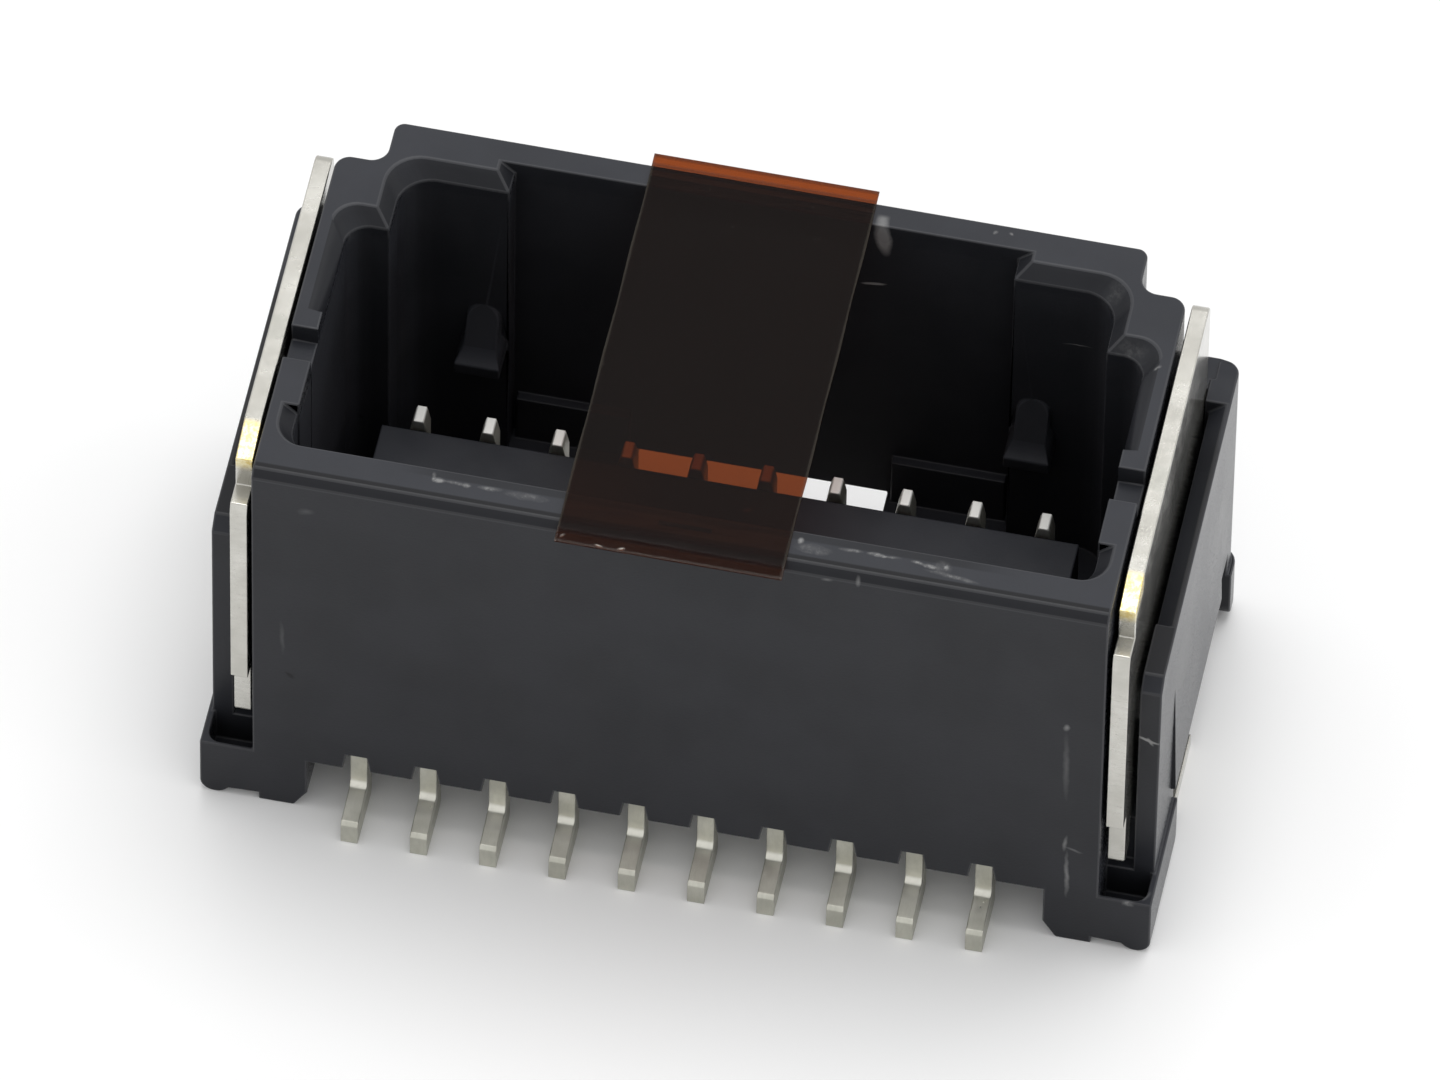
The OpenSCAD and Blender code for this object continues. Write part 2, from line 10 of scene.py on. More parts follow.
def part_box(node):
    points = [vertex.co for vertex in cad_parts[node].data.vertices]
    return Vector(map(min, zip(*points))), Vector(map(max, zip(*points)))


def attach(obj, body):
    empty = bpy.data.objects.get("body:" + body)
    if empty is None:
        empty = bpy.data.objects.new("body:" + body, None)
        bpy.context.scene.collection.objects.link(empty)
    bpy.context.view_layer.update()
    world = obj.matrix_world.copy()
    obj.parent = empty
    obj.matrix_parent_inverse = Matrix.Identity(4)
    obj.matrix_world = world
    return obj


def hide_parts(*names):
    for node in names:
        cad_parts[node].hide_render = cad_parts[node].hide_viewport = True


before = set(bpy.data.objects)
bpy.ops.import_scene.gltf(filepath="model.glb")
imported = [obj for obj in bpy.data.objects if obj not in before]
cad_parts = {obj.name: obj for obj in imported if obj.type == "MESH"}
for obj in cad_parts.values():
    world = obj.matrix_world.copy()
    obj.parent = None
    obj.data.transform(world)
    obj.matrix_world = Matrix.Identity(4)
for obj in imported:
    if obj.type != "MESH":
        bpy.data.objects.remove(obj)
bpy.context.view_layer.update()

MM = 0.001
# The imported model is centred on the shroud's depth; places below are given from its front face
FRONT = 6.46

# Edge rounding, in mm
HOUSING_ROUND, LEAD_ROUND, NAIL_ROUND = 0.055, 0.035, 0.04
ROUND_STEPS = 2
# Vertices nearer than this become one, in mm
WELD, HOUSING_WELD = 0.0005, 0.012
# Turns at an edge, in degrees: less is one face, more is rounded, more is sharp in the shading
ONE_FACE, ROUNDED, CREASED = 0.4, 32.0, 50.0
# Sharp edges that meet at less than this many degrees are left sharp
KNIFE = 28.0
# An edge is rounded if it is longer than this many widths for each radian it turns at its ends
SHORT_EDGE, MOST_TURN = 2.2, 0.55
# A rounded vertex further from the solid than this share of the width goes back onto it
BULGE = 0.4

# What lies higher than this above the board is the top of the rim, in mm
RIM = 15.3

# The film, in mm: its middle, half thickness, sag over the mouth, curl in front and waviness
FILM_X, FILM_HALF = -0.22, 0.03
FILM_SAG, FILM_CURL, FILM_WAVE = 0.07, 0.22, 0.012
# Middle and half depth of the mouth that the film sags over, in mm
MOUTH_Y, MOUTH_HALF = -0.1, 5.1

# The photograph's view, in degrees, metres and mm
VIEW_TURN, VIEW_RISE, VIEW_ROLL = 10.795, 53.443, 1.072
VIEW_PLACE = (0.08166, -0.42867, 0.59567)
LENS, SENSOR = 650.0, 36.0

# Brightness of the room, and the lamps: place and target in metres, size and watts
SKY = 0.52
LAMPS = (("overhead softbox", (0.04, 0.15, 0.75), (0.0, 0.0, 0.0), 0.45, 2.8),
         ("right fill", (0.7, 0.1, 0.25), (0.0, 0.0, 0.005), 0.4, 0.5))

# Colours of the plastic: body and its clouds, the rim top made lighter as painted light, flow
# lines, painted shade and dark stains, worn edges lightened also as painted highlight, scuffs with
# painted glints and reflections
BODY, BODY_CLOUD = (0.0215, 0.023, 0.028), (0.031, 0.0328, 0.0395)
RIM_LIT_GREY, FLOW_GREY = (0.05, 0.052, 0.06), (0.033, 0.0345, 0.039)
STAIN_AND_SHADE_BLACK, WORN_AND_HIGHLIT_GREY = (0.006, 0.006, 0.007), (0.085, 0.086, 0.091)
SCUFF_AND_GLINT_GREY = (0.22, 0.22, 0.22)
# Colours of the metal: light and dark plating, then what differs from it: a painted highlight at
# the lead bend, painted light on the lead tips and the nail fronts, painted shade on the nail tops
LEAD_LIGHT, LEAD_DARK = (0.6, 0.595, 0.53), (0.44, 0.435, 0.38)
LEAD_FOOT, LEAD_BEND_HIGHLIGHT, LEAD_TIP_LIGHT = (0.4, 0.4, 0.34), (0.78, 0.77, 0.7), (0.85, 0.85, 0.82)
NAIL_LIGHT, NAIL_DARK = (0.58, 0.57, 0.53), (0.46, 0.45, 0.41)
NAIL_DULL, NAIL_FRONT_LIGHT, NAIL_TOP_SHADE = (0.42, 0.42, 0.38), (0.8, 0.79, 0.74), (0.38, 0.37, 0.34)
SHEARED_BRASS, SHEARED_PALE = (0.66, 0.52, 0.2), (0.8, 0.74, 0.5)
# Colours of the film: what shines through, its surface, dust, cut sides, front end with a painted
# highlight, painted glints at the front end
AMBER = (0.58, 0.27, 0.13)
FILM_DARK, FILM_LIGHT = (0.006, 0.006, 0.006), (0.01, 0.0095, 0.009)
FILM_DUST, FILM_CUT, FILM_END_HIGHLIGHT = (0.2, 0.17, 0.15), (0.1, 0.1, 0.08), (0.2, 0.18, 0.16)
FILM_GLINT_TAN = (0.6, 0.55, 0.47)
# Colours of the paper floor
PAPER, PAPER_CLOUD = (0.9, 0.9, 0.9), (0.93, 0.93, 0.93)

# Marks, each a strength, centre, turn in degrees, length and width, in mm.
# Marks on upright walls: x and height
FRONT_SCRATCHES = (
    (0.9, (11.1, 10.03), 80, 0.3, 0.16), (0.3, (11.13, 8.2), 91, 2.8, 0.16),
    (0.7, (11.18, 4.55), 84, 0.7, 0.1), (0.5, (11.42, 4.3), -20, 0.5, 0.1),
    (0.75, (11.25, 3.1), 91, 1.9, 0.12), (0.2, (-11.3, 7.9), 92, 1.4, 0.12),
    (0.2, (-10.6, 14.0), 15, 0.45, 0.25), (0.5, (4.2, 15.02), 4, 0.3, 0.12),
    (0.6, (5.07, 15.1), 95, 0.3, 0.12))
WING_SCRATCHES = ((2.2, (13.22, 8.5), -14, 0.75, 0.1), (1.6, (13.3, 8.45), -60, 0.35, 0.1))
# On the back wall: a light wavy mark on the right, and a painted reflection and a painted glint
# beside the film's edge
BACK_SMEARS_AND_GLINTS = (
    (0.9, (9.1, 12.4), 4, 0.75, 0.05), (2.2, (3.34, 14.8), 97, 1.4, 0.38),
    (3.0, (3.1, 12.62), 10, 0.66, 0.1))
FRONT_STAINS = ((1.0, (-11.1, 6.15), -50, 0.35, 0.12),)
# Marks on level faces: x and distance behind the front face
# Scuffs on the front rim with painted glints along them, two dust specks on the back rim, and a
# painted glint on the right shoulder
RIM_SCUFFS_AND_GLINTS = (
    (2.2, (3.27, 0.93), 70, 0.22, 0.16), (0.7, (3.65, 0.72), 0, 0.95, 0.3),
    (1.4, (4.7, 0.9), 2, 0.62, 0.1), (2.2, (5.45, 0.9), -4, 0.5, 0.12),
    (0.9, (5.85, 0.89), 0, 0.5, 0.08), (1.6, (6.6, 0.86), -3, 0.4, 0.1),
    (2.0, (6.97, 0.83), -3, 0.36, 0.13), (1.8, (7.42, 0.86), 80, 0.2, 0.12),
    (0.5, (7.3, 0.85), 0, 0.5, 0.4), (1.0, (7.6, 0.6), -6, 1.4, 0.12),
    (2.2, (-7.02, 0.87), -4, 0.36, 0.14), (1.4, (-7.17, 0.98), 100, 0.25, 0.09),
    (1.1, (-6.5, 0.87), 0, 0.75, 0.09), (1.3, (-6.2, 0.87), 0, 0.22, 0.14),
    (1.2, (-5.55, 0.88), 2, 0.6, 0.13), (0.7, (-4.5, 0.82), 0, 1.1, 0.22),
    (1.4, (6.43, 12.6), 35, 0.16, 0.1), (1.4, (6.9, 12.66), -20, 0.14, 0.08),
    (1.5, (11.8, 8.94), 30, 0.25, 0.1))
LEAD_IN_GLINTS = ((0.22, (10.1, 11.35), 60, 0.8, 0.5), (0.22, (11.0, 9.5), -15, 1.0, 0.5))
# Painted glints on the rim of the right foot's pocket
FOOT_GLINTS = ((1.6, (13.5, 0.32), 60, 0.35, 0.12), (1.2, (13.03, 0.03), 0, 0.35, 0.1))
TONGUE_SPECKS = ((1.0, (0.5, 7.5), 20, 0.3, 0.12),)
# Painted glints along the film's front end
FILM_GLINTS = (
    (0.7, (-2.2, -0.42), -8, 0.28, 0.05), (0.7, (-1.55, -0.4), 15, 0.24, 0.06),
    (0.4, (-3.25, -0.3), 40, 0.2, 0.08))
# The gradient of a mark as a share of its length, width and strength
MARK_LENGTH, MARK_WIDTH, MARK_PEAK = 0.62, 0.7, 1.5


# Shader building

class Wire:
    """A number or colour on its way through a material; sums on it add the Math nodes."""

    def __init__(self, finish, socket):
        self.finish, self.socket = finish, socket

    def _maths(self, operation, *operands):
        return self.finish.node("ShaderNodeMath", dict(enumerate(operands)), operation=operation)

    def __add__(self, other): return self._maths("ADD", self, other)
    def __radd__(self, other): return self._maths("ADD", other, self)
    def __sub__(self, other): return self._maths("SUBTRACT", self, other)
    def __rsub__(self, other): return self._maths("SUBTRACT", other, self)
    def __mul__(self, other): return self._maths("MULTIPLY", self, other)
    def __neg__(self): return self._maths("MULTIPLY", self, -1.0)
    def __abs__(self): return self._maths("ABSOLUTE", self)

    def rise(self, start, end):
        """Eases from 0 to 1 while the number goes from start to end."""
        return self.finish.node("ShaderNodeMapRange", {0: self, 1: start, 2: end},
                                interpolation_type="SMOOTHSTEP")

    def between(self, low, high, soft):
        """1 from low to high, fading out over soft on either side."""
        return self.rise(low - soft, low + soft) * self.rise(high + soft, high - soft)


class Finish:
    """One material while its nodes are being laid."""

    def __init__(self, name):
        self.material = bpy.data.materials.new(name)
        self.material.use_nodes = True
        self.tree = self.material.node_tree
        self.tree.nodes.clear()
        place = self.node("ShaderNodeTexCoord", output="Object")
        self.mm = self.node("ShaderNodeVectorMath", {0: place, 3: 1.0 / MM}, operation="SCALE")
        split = self.node("ShaderNodeSeparateXYZ", {0: self.mm})
        self.x, y, self.z = (Wire(self, split.socket.node.outputs[k]) for k in range(3))
        self.y = y + FRONT

    def node(self, kind, values=None, output=0, **settings):
        """Any node: its settings come first, then the values or links of its sockets."""
        made = self.tree.nodes.new(kind)
        for key, value in settings.items():
            setattr(made, key, value)
        for key, value in (values or {}).items():
            socket = made.inputs[key]
            if isinstance(value, Wire):
                self.tree.links.new(value.socket, socket)
            elif socket.type == "RGBA":
                socket.default_value = (*value, 1.0)
            else:
                socket.default_value = value
        return Wire(self, made.outputs[output])

    def noise(self, per_mm, detail=3.0, rough=0.5, stretch=(1.0, 1.0, 1.0)):
        """Cloudy noise of about per_mm lumps in a millimetre, drawn out where stretch is small."""
        spread = self.node("ShaderNodeVectorMath", {0: self.mm, 1: stretch},
                           operation="MULTIPLY")
        return self.node("ShaderNodeTexNoise", {"Vector": spread, "Scale": per_mm, "Detail": detail,
                                                "Roughness": rough})

    def blend(self, mask, below, above):
        """Colour below where the mask is 0, colour above where it is 1."""
        return self.node("ShaderNodeMix", {0: mask, 6: below, 7: above}, output=2,
                         data_type="RGBA")

    def facing(self, axis):
        """How far the surface faces along one axis of the object, from -1 to 1."""
        normal = self.node("ShaderNodeNewGeometry", output="True Normal")
        split = self.node("ShaderNodeSeparateXYZ", {0: normal})
        return Wire(self, split.socket.node.outputs["XYZ".index(axis)])

    def marks(self, across, along, spots):
        """Soft-edged marks on the faces that the two numbers lie along."""
        where = self.node("ShaderNodeCombineXYZ", {0: across, 1: along})
        total = 0.0
        for strength, centre, turn, length, width in spots:
            place = self.node("ShaderNodeMapping", {
                "Vector": where, "Location": (*centre, 0.0), "Rotation": (0.0, 0.0, radians(turn)),
                "Scale": (length * MARK_LENGTH, width * MARK_WIDTH, 1.0)},
                vector_type="TEXTURE")
            total = total + self.node("ShaderNodeTexGradient", {"Vector": place}, output=1,
                                      gradient_type="SPHERICAL") * (MARK_PEAK * strength)
        return total

    def surface(self, bump=None, depth=0.0, **sockets):
        """One Principled shader; bump is a height from 0 to 1 and depth its size in mm."""
        values = {key.replace("_", " "): value for key, value in sockets.items()}
        if bump is not None:
            values["Normal"] = self.node("ShaderNodeBump", {"Height": bump, "Strength": 1.0,
                                                            "Distance": depth * MM})
        return self.node("ShaderNodeBsdfPrincipled", values)

    def close(self, shader):
        """Gives the material its shader and hands it back."""
        end = self.tree.nodes.new("ShaderNodeOutputMaterial")
        self.tree.links.new(shader.socket, end.inputs["Surface"])
        return self.material


# Finishes

def charcoal_shade(f, toward_front, upward):
    """Faces that lie in shade in the photograph, from 0 to 1."""
    front_bevel = (toward_front * upward).rise(0.3, 0.45) * f.y.rise(0.5, 0.4)
    # The tops of the wings between the nails and the outer faces, but for the rear end
    wing_top = upward.rise(0.6, 0.9) * abs(f.x).rise(12.7, 12.85) * f.z.between(10.2, 11.3, 0.2)
    # The rim's front border, its inner border in the middle, and the lead-in
    rim_top = upward.rise(0.85, 0.95) * f.z.rise(RIM - 0.1, RIM)
    borders = (f.y.rise(0.47, 0.4) * 0.85
               + f.y.between(0.96, 1.4, 0.04) * abs(f.x - 0.6).rise(9.0, 7.0) * 0.5)
    slope = upward.between(0.5, 0.85, 0.08) * f.z.rise(14.6, 14.8)
    shade = wing_top * f.y.between(1.4, 9.7, 0.25) * 0.75 + front_bevel * 0.65
    return shade + rim_top * borders + slope * (1.0 - front_bevel) * 0.55


def charcoal_marks(f, front):
    """Scratches, smears and scuffs of the housing, with painted glints and reflections: the light
    ones and the dark ones.
    """
    wobble = (f.noise(2.5, detail=2.0) - 0.5) * 0.12
    x, y, z = f.x + wobble, f.y + wobble, f.z + wobble
    light = f.marks(x, z, FRONT_SCRATCHES) * f.y.rise(0.4, 0.3)
    light = light + f.marks(x, z, WING_SCRATCHES) * f.y.between(1.0, 1.3, 0.05)
    light = light + f.marks(x, z, BACK_SMEARS_AND_GLINTS) * f.y.between(11.3, 12.5, 0.1)
    dark = f.marks(x, z, FRONT_STAINS) * front
    scuffs_and_glints = f.marks(x, y, RIM_SCUFFS_AND_GLINTS) * f.z.rise(15.05, RIM)
    scuffs_and_glints = scuffs_and_glints + f.marks(f.x, f.y, LEAD_IN_GLINTS) * f.z.between(14.9, 15.33, 0.02)
    # Painted glints on the foot
    foot = f.marks(f.x, f.y, FOOT_GLINTS)
    scuffs_and_glints = scuffs_and_glints + foot * f.z.between(2.1, 2.35, 0.05)
    speck = f.marks(f.x, f.y, TONGUE_SPECKS) * f.z.between(7.2, 7.5, 0.05)
    rubbed = f.noise(5.0, detail=4.0, rough=0.7).rise(0.42, 0.66)
    return light + scuffs_and_glints * (rubbed * 0.7 + 0.3) + speck, dark


def moulded_charcoal(name, wear_and_highlight):
    """Spark-eroded charcoal plastic; the second argument is how far it is lightened outside the
    mouth, as burnished wear and painted highlight.
    """
    f = Finish(name)
    cloud = f.noise(0.35, detail=4.0)
    grain = f.noise(14.0, detail=2.0, rough=0.6)
    flow = f.noise(1.1, detail=3.0, stretch=(1.0, 1.0, 0.35))
    toward_front, upward = -f.facing("Y"), f.facing("Z")
    front = toward_front.rise(0.7, 0.95)
    shade = charcoal_shade(f, toward_front, upward)
    side = abs(f.facing("X")).rise(0.8, 0.98)
    marks, dark = charcoal_marks(f, front)
    tone = f.blend(cloud.rise(0.3, 0.7), BODY, BODY_CLOUD)
    # Painted light: the top of the rim a lighter grey
    tone = f.blend(f.z.rise(RIM - 0.1, RIM) * 0.25, tone, RIM_LIT_GREY)
    tone = f.blend(flow.rise(0.35, 0.75) * 0.35, tone, FLOW_GREY)
    # Painted shade on all front faces and where charcoal_shade gives shade, together with the dark
    # stains
    tone = f.blend(dark * 0.7 + shade + front * 0.42, tone, STAIN_AND_SHADE_BLACK)
    # Inside the mouth, below the lead-in
    deep = f.y.between(1.1, 12.3, 0.1) * abs(f.x).rise(11.7, 11.5) * f.z.rise(14.8, 14.4)
    # Burnished wear and painted highlight on the rounded edges outside the mouth
    tone = f.blend((1.0 - deep) * wear_and_highlight, tone, WORN_AND_HIGHLIT_GREY)
    # Light scratches, smears, scuffs and a speck, with painted glints and reflections
    tone = f.blend(marks * 0.6, tone, SCUFF_AND_GLINT_GREY)
    rough = 0.39 + (grain - 0.5) * 0.14 + (cloud - 0.5) * 0.12 - marks * 0.1 - side * 0.12
    rough = rough + deep * (1.0 - upward.rise(0.6, 0.9)) * 0.25
    return f.close(f.surface(bump=grain + flow * 0.6 - marks * 0.8, depth=0.003,
                             Base_Color=tone, Roughness=rough, Specular_IOR_Level=0.16))


def tin_plate(name, light, dark, shine, rolled):
    """Start of a tin plate over copper alloy, with the faint lines of the rolled strip."""
    f = Finish(name)
    cloud = f.noise(0.9, detail=4.0)
    lines = f.noise(9.0, detail=3.0, rough=0.65, stretch=rolled)
    pits = f.noise(22.0, detail=2.0).rise(0.62, 0.8)
    tone = f.blend(cloud.rise(0.3, 0.7), dark, light)
    tone = f.blend(lines.rise(0.35, 0.8) * 0.3, tone, tuple(v * 0.8 for v in dark))
    return f, tone, lines, pits, shine + (lines - 0.5) * 0.2 + (cloud - 0.5) * 0.1


def lead_tin():
    """The leads: a painted highlight at the outer bend and painted light on the sheared tips,
    darker at the feet.
    """
    f, tone, lines, pits, rough = tin_plate("lead_tin", LEAD_LIGHT, LEAD_DARK, 0.42,
                                            rolled=(1.0, 0.3, 0.3))
    # Painted highlight at the outer bend
    bend = f.z.between(0.75, 1.35, 0.2) * f.y.between(-0.4, 0.5, 0.2)
    foot = f.z.rise(1.0, 0.6)
    # Painted light on the tops of the tips, deep in the mouth
    lit_tip = f.z.rise(7.6, 7.68)
    tone = f.blend(foot * 0.35, tone, LEAD_FOOT)
    tone = f.blend(bend * 0.5, tone, LEAD_BEND_HIGHLIGHT)
    tone = f.blend(lit_tip, tone, LEAD_TIP_LIGHT)
    return f.close(f.surface(bump=lines * 0.6 + pits * 0.4, depth=0.008, Base_Color=tone,
                             Roughness=rough - bend * 0.1 + lit_tip * 0.15,
                             Metallic=0.85 - lit_tip * 0.6))


def nail_tin():
    """The nails, with the bare metal of the sheared facet near the front of the top, painted light
    on the front faces and painted shade on the top faces.
    """
    f, tone, lines, pits, rough = tin_plate("nail_tin", NAIL_LIGHT, NAIL_DARK, 0.25,
                                            rolled=(0.25, 0.25, 1.0))
    flat = abs(f.facing("X")).rise(0.7, 0.95)
    top = f.z.rise(14.2, 14.6)
    sheared = f.y.between(0.65, 2.0, 0.12) * top
    front, up = (-f.facing("Y")).rise(0.6, 0.9), f.facing("Z").rise(0.6, 0.9)
    torn = f.noise(6.0, detail=4.0, rough=0.7)
    dull = f.y.between(4.9, 5.75, 0.1) * f.z.rise(14.9, 15.0)
    tone = f.blend(dull * 0.75, tone, NAIL_DULL)
    # Painted light on the front faces, painted shade on the top faces
    tone = f.blend(front * 0.15, tone, NAIL_FRONT_LIGHT)
    tone = f.blend(up * 0.25, tone, NAIL_TOP_SHADE)
    bare = f.blend(torn.rise(0.35, 0.65), SHEARED_BRASS, SHEARED_PALE)
    tone = f.blend(sheared, tone, bare)
    relief = (lines * 0.5 + pits * 0.2) * (1.0 - flat * 0.85 - front * 0.5) + torn * sheared * 0.7
    return f.close(f.surface(bump=relief, depth=0.008, Base_Color=tone,
                             Roughness=rough + sheared * 0.12 - flat * 0.1, Metallic=0.9))


def amber_film():
    """Clear amber film: it lets orange light through and mirrors a little of the room."""
    f = Finish("amber_film")
    ripple = f.noise(0.5, detail=3.0, stretch=(1.0, 0.4, 1.0))
    fine = f.noise(6.0, detail=2.0)
    dust = f.noise(16.0, detail=1.0).rise(0.72, 0.8)
    # Painted glints along the front end
    end_glints = f.marks(f.x, f.y, FILM_GLINTS)
    cut = abs(f.x - FILM_X).rise(3.13, 3.2)
    # Painted highlight along the front end
    end = f.y.rise(-0.4, -0.46)
    # The front lip bends away from the light; past the back rim the film shows the bright room
    lip, band = f.y.rise(0.0, -0.12), f.y.rise(12.86, 12.94)
    edge = f.y.between(12.9, 12.98, 0.04) + f.y.rise(13.18, 13.24)
    through = f.node("ShaderNodeBsdfTransparent", {"Color": AMBER})
    tone = f.blend(ripple, FILM_DARK, FILM_LIGHT)
    tone = f.blend(dust * 0.5, tone, FILM_DUST)
    tone = f.blend(cut * 0.5, tone, FILM_CUT)
    tone = f.blend(end * 0.5, tone, FILM_END_HIGHLIGHT)
    tone = f.blend(end_glints, tone, FILM_GLINT_TAN)
    gloss = f.surface(bump=ripple + fine * 0.02, depth=0.012, Base_Color=tone,
                      Roughness=0.08 + fine * 0.06, Specular_IOR_Level=0.42)
    mirrored = (dust * 0.25 + end_glints * 0.5 + cut * 0.1 + edge * 0.25
                - lip * 0.19 - band * 0.12 + end * 0.1 + 0.24)
    return f.close(f.node("ShaderNodeMixShader", {0: mirrored, 1: through, 2: gloss}))


# Pieces

def whole_copy(node, merge=WELD):
    """A CAD solid's mesh in millimetres, with its loose triangles joined into whole faces."""
    shell = bmesh.new()
    shell.from_mesh(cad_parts[node].data)
    shell.transform(Matrix.Scale(1.0 / MM, 4))
    bmesh.ops.remove_doubles(shell, verts=shell.verts, dist=merge)
    bmesh.ops.dissolve_limit(shell, angle_limit=radians(ONE_FACE), verts=shell.verts,
                             edges=shell.edges, use_dissolve_boundaries=False)
    mesh = bpy.data.meshes.new(node + "_whole")
    shell.to_mesh(mesh)
    shell.free()
    return mesh


def added(name, mesh):
    """A new object of the scene."""
    piece = bpy.data.objects.new(name, mesh)
    bpy.context.scene.collection.objects.link(piece)
    return piece


def plain_mesh(piece):
    """The piece's mesh with its modifiers worked in."""
    bpy.context.view_layer.update()
    graph = bpy.context.evaluated_depsgraph_get()
    plain = bpy.data.meshes.new_from_object(piece.evaluated_get(graph))
    piece.modifiers.clear()
    piece.data = plain
    return plain


def settle(piece):
    """Works in the last modifiers and leaves plain mesh, in metres, shaded flat on flat faces."""
    shell = bmesh.new()
    shell.from_mesh(piece.data)
    for face in shell.faces:
        face.smooth = True
    for edge in shell.edges:
        edge.smooth = edge.calc_face_angle(0.0) < radians(CREASED)
    shell.to_mesh(piece.data)
    shell.free()
    weigh = piece.modifiers.new("flat faces lead", "WEIGHTED_NORMAL")
    weigh.weight, weigh.keep_sharp = 100, True
    plain_mesh(piece).transform(Matrix.Scale(MM, 4))
    return piece


def bend_at(edge, corner, sharp):
    """How far the line of sharp edges bends at one end of an edge, in radians."""
    here = (corner.co - edge.other_vert(corner).co).normalized()
    onward = [(e.other_vert(corner).co - corner.co).normalized()
              for e in corner.link_edges if e in sharp and e is not edge]
    return min((acos(max(-1.0, min(1.0, here.dot(way)))) for way in onward), default=MOST_TURN)


def edges_to_round(shell, width):
    """The sharp edges, except short ones and those that meet another at a knife's angle."""
    sharp = {e for e in shell.edges
             if e.is_manifold and abs(e.calc_face_angle_signed()) > radians(ROUNDED)}
    kept = set()
    for edge in sharp:
        bend = min(MOST_TURN, max(bend_at(edge, corner, sharp) for corner in edge.verts))
        if edge.calc_length() > SHORT_EDGE * width * bend:
            kept.add(edge)
    for corner in shell.verts:
        meeting = [e for e in corner.link_edges if e in sharp]
        ways = [(e.other_vert(corner).co - corner.co).normalized() for e in meeting]
        for i, a in enumerate(ways):
            for b in ways[i + 1:]:
                if a.dot(b) > cos(radians(KNIFE)):
                    kept -= set(meeting)
    return kept


def round_edges(piece, width, mark=0):
    """Bevels the piece's sharp edges; mark is the material slot of the new faces."""
    shell = bmesh.new()
    shell.from_mesh(piece.data)
    weight = shell.edges.layers.float.new("bevel_weight_edge")
    for edge in edges_to_round(shell, width):
        edge[weight] = 1.0
    shell.to_mesh(piece.data)
    shell.free()
    solid = BVHTree.FromPolygons([v.co.copy() for v in piece.data.vertices],
                                 [list(p.vertices) for p in piece.data.polygons])
    bevel = piece.modifiers.new("rounded edges", "BEVEL")
    bevel.width, bevel.segments = width, ROUND_STEPS
    bevel.limit_method = "WEIGHT"
    bevel.use_clamp_overlap = False
    bevel.material = mark
    for vertex in plain_mesh(piece).vertices:
        near, _, _, gap = solid.find_nearest(vertex.co)
        if gap > BULGE * width:
            vertex.co = near


def hand_over(piece, slot, *nodes):
    """The piece stands for CAD nodes and rides on the body; slot is not used."""
    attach(piece, "root")
    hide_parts(*nodes)


def make_housing():
    """The moulding, whose rounded edges are lightened outside the mouth as burnished wear and
    painted highlight.
    """
    piece = added("moulded_housing", whole_copy("housing", merge=HOUSING_WELD))
    piece.data.materials.clear()
    piece.data.materials.append(moulded_charcoal("moulded_charcoal", 0.0))
    piece.data.materials.append(moulded_charcoal("burnished_and_highlit_edge", 0.35))
    round_edges(piece, HOUSING_ROUND, mark=1)
    hand_over(settle(piece), "moulded_black", "housing")


def lead_row_tree():
    """Geometry nodes that repeat one lead along the row."""
    tree = bpy.data.node_groups.new("lead_row", "GeometryNodeTree")
    face = tree.interface
    face.new_socket("Lead", in_out="INPUT", socket_type="NodeSocketGeometry")
    for name, kind in (("Leads", "NodeSocketInt"), ("Pitch", "NodeSocketFloat"),
                       ("Finish", "NodeSocketMaterial")):
        face.new_socket(name, in_out="INPUT", socket_type=kind)
    face.new_socket("Row", in_out="OUTPUT", socket_type="NodeSocketGeometry")
    add, link = tree.nodes.new, tree.links.new
    given, end = add("NodeGroupInput"), add("NodeGroupOutput")
    step, line = add("ShaderNodeCombineXYZ"), add("GeometryNodeMeshLine")
    place, real, coat = (add("GeometryNodeInstanceOnPoints"), add("GeometryNodeRealizeInstances"),
                         add("GeometryNodeSetMaterial"))
    link(given.outputs["Pitch"], step.inputs["X"])
    link(given.outputs["Leads"], line.inputs["Count"])
    link(step.outputs[0], line.inputs["Offset"])
    link(line.outputs[0], place.inputs["Points"])
    link(given.outputs["Lead"], place.inputs["Instance"])
    link(place.outputs[0], real.inputs[0])
    link(real.outputs[0], coat.inputs["Geometry"])
    link(given.outputs["Finish"], coat.inputs["Material"])
    link(coat.outputs[0], end.inputs[0])
    return tree


def set_input(modifier, name, value):
    """Sets one named input of a geometry nodes modifier."""
    for item in modifier.node_group.interface.items_tree:
        if item.item_type == "SOCKET" and item.in_out == "INPUT" and item.name == name:
            modifier[item.identifier] = value


def make_leads():
    """The ten leads: the first one of the CAD, repeated at the CAD's pitch."""
    nodes = sorted((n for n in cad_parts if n.startswith("contact_")),
                   key=lambda n: int(n.split("_")[1]))
    first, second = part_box(nodes[0])[0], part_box(nodes[1])[0]
    piece = added("lead_row", whole_copy(nodes[0]))
    piece.data.materials.clear()
    round_edges(piece, LEAD_ROUND)
    row = piece.modifiers.new("row", "NODES")
    row.node_group = lead_row_tree()
    set_input(row, "Leads", len(nodes))
    set_input(row, "Pitch", (second.x - first.x) / MM)
    set_input(row, "Finish", lead_tin())
    hand_over(settle(piece), "contact_tin", *nodes)


def make_nails():
    """The fitting nails at both ends."""
    finish = nail_tin()
    for side in ("left", "right"):
        node = side + "_fitting_nail"
        piece = added(side + "_nail", whole_copy(node))
        piece.data.materials.clear()
        piece.data.materials.append(finish)
        round_edges(piece, NAIL_ROUND)
        hand_over(settle(piece), "nail_tin", node)


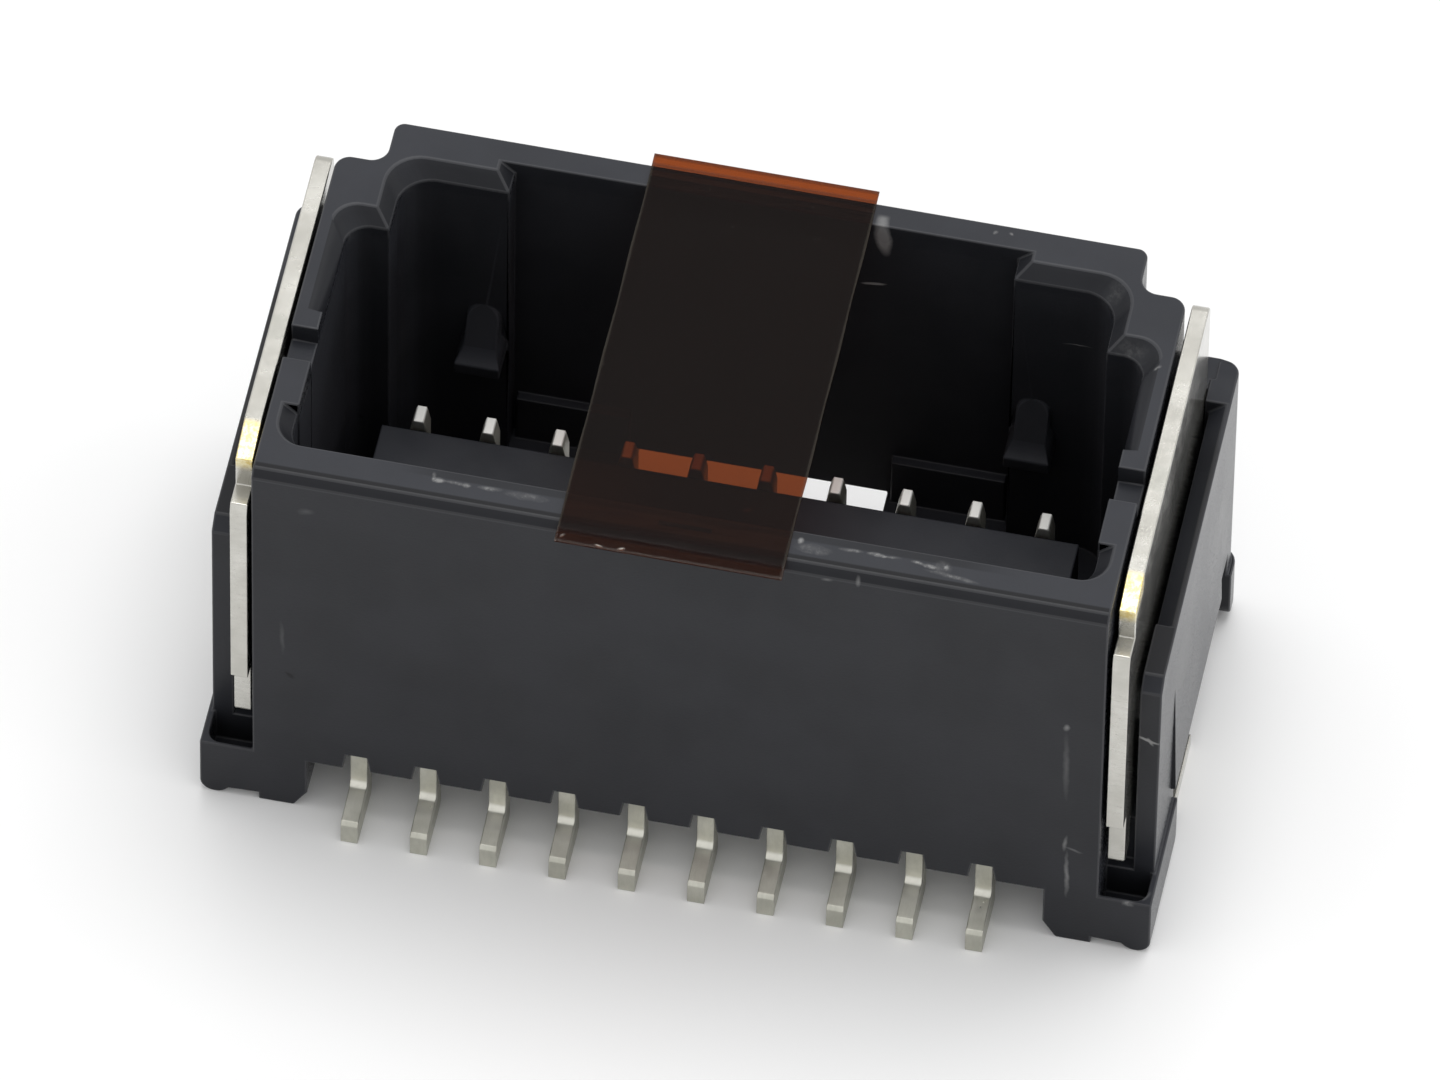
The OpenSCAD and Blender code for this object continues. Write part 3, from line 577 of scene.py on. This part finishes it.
def make_tape():
    """The film: it lies on both rims, sags a little over the mouth and curls down in front."""
    low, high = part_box("pickup_tape")
    low, high = low / MM, high / MM
    across, along = 26, 60
    film = bmesh.new()
    grid = []
    for j in range(along + 1):
        t = j / along
        y = low.y + (high.y - low.y) * t
        row = []
        for i in range(across + 1):
            s = i / across
            x = low.x + (high.x - low.x) * s
            mouth = max(0.0, 1.0 - abs((y - MOUTH_Y) / MOUTH_HALF) ** 2)
            sag = FILM_SAG * mouth * (0.75 + 0.25 * cos((s - 0.4) * pi))
            edge = FILM_WAVE * sin(t * 23.0 + i) if i in (0, across) else 0.0
            front = max(0.0, -FRONT - y)
            row.append(film.verts.new((x + edge, y,
                                       low.z + FILM_HALF - sag - FILM_CURL * front ** 2)))
        grid.append(row)
    for a, b in zip(grid, grid[1:]):
        for i in range(across):
            film.faces.new((a[i], a[i + 1], b[i + 1], b[i]))
    mesh = bpy.data.meshes.new("amber_strip")
    film.to_mesh(mesh)
    film.free()
    piece = added("amber_strip", mesh)
    mesh.materials.append(amber_film())
    wall = piece.modifiers.new("film", "SOLIDIFY")
    wall.thickness, wall.offset = high.z - low.z, 0.0
    hand_over(settle(piece), "amber_film", "pickup_tape")


# Camera, room and light

def aim_camera():
    """The photograph's view: a long lens from above, turned to the right and rolled slightly."""
    turn, rise, roll = radians(VIEW_TURN), radians(VIEW_RISE), radians(VIEW_ROLL)
    back = Vector((sin(turn) * cos(rise), -cos(turn) * cos(rise), sin(rise)))
    right = Vector((cos(turn), sin(turn), 0.0))
    up = back.cross(right)
    level, upright = right * cos(roll) + up * sin(roll), up * cos(roll) - right * sin(roll)
    lens = bpy.data.cameras.new("camera")
    lens.lens, lens.sensor_width = LENS, SENSOR
    lens.clip_start, lens.clip_end = 0.05, 20.0
    camera = bpy.data.objects.new("camera", lens)
    bpy.context.scene.collection.objects.link(camera)
    place = Matrix((level, upright, back)).transposed().to_4x4()
    place.translation = Vector(VIEW_PLACE)
    camera.matrix_world = place
    bpy.context.scene.camera = camera


def lamp(name, place, target, size, watts):
    """A square white area light that faces its target."""
    light = bpy.data.lights.new(name, "AREA")
    light.shape, light.size, light.energy = "SQUARE", size, watts
    holder = bpy.data.objects.new(name, light)
    bpy.context.scene.collection.objects.link(holder)
    holder.location = place
    holder.rotation_euler = (Vector(target) - Vector(place)).to_track_quat("-Z", "Y").to_euler()


def set_room():
    """A paper floor in a white room: brighter to the camera and in mirrors than as a light."""
    bpy.ops.mesh.primitive_plane_add(size=3.0, location=(0.0, 0.0, 0.0))
    floor = bpy.context.object
    floor.name = "floor"
    f = Finish("floor_paper")
    tone = f.blend(f.noise(0.02, detail=2.0), PAPER, PAPER_CLOUD)
    floor.data.materials.append(f.close(f.surface(Base_Color=tone, Roughness=0.9,
                                                  Specular_IOR_Level=0.1)))
    world = bpy.data.worlds.new("studio")
    bpy.context.scene.world = world
    world.use_nodes = True
    nodes, link = world.node_tree.nodes, world.node_tree.links.new
    nodes.clear()
    rays, seen = nodes.new("ShaderNodeLightPath"), None
    for ray in ("Is Camera Ray", "Is Glossy Ray", "Is Transmission Ray"):
        either = nodes.new("ShaderNodeMath")
        either.operation = "MAXIMUM"
        link(rays.outputs[ray], either.inputs[0])
        if seen:
            link(seen.outputs[0], either.inputs[1])
        seen = either
    sky, paper, mix = (nodes.new("ShaderNodeBackground"), nodes.new("ShaderNodeBackground"),
                       nodes.new("ShaderNodeMixShader"))
    sky.inputs["Color"].default_value = (1.0, 1.0, 1.0, 1.0)
    sky.inputs["Strength"].default_value = SKY
    paper.inputs["Color"].default_value = (1.0, 1.0, 1.0, 1.0)
    end = nodes.new("ShaderNodeOutputWorld")
    link(seen.outputs[0], mix.inputs[0])
    link(sky.outputs[0], mix.inputs[1])
    link(paper.outputs[0], mix.inputs[2])
    link(mix.outputs[0], end.inputs["Surface"])
    for name, place, target, size, watts in LAMPS:
        lamp(name, place, target, size, watts)


bpy.context.scene.view_settings.view_transform = "Standard"
aim_camera()
set_room()
make_housing()
make_leads()
make_nails()
make_tape()
